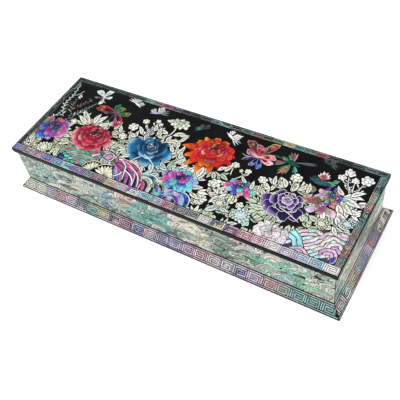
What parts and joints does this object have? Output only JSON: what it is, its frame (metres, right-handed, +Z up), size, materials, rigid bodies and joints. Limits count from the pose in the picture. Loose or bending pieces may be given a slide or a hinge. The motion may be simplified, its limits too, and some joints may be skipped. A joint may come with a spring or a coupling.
{
  "type": "pen case",
  "caption": "Long low lacquered wooden box for pens, with a flat overhanging lid that lifts off and a flared base; shell inlay all over.",
  "frame": {"origin": "centre of the underside", "axes": "+X along the case, +Y to its back, +Z up; the side that faces the viewer of the picture is -Y"},
  "size_m": [0.2644, 0.0944, 0.0414],
  "materials": {
    "black_lacquer": "polished black lacquer over wood",
    "white_shell": "cream mother-of-pearl inlay under clear lacquer",
    "abalone_shell": "blue-green and purple abalone inlay under clear lacquer",
    "dyed_shell": "shell inlay dyed from the back, under clear lacquer"
  },
  "bodies": {
    "root": {"lid": "black_lacquer", "case_walls": "black_lacquer", "base_board": "black_lacquer"}
  },
  "joints": []
}
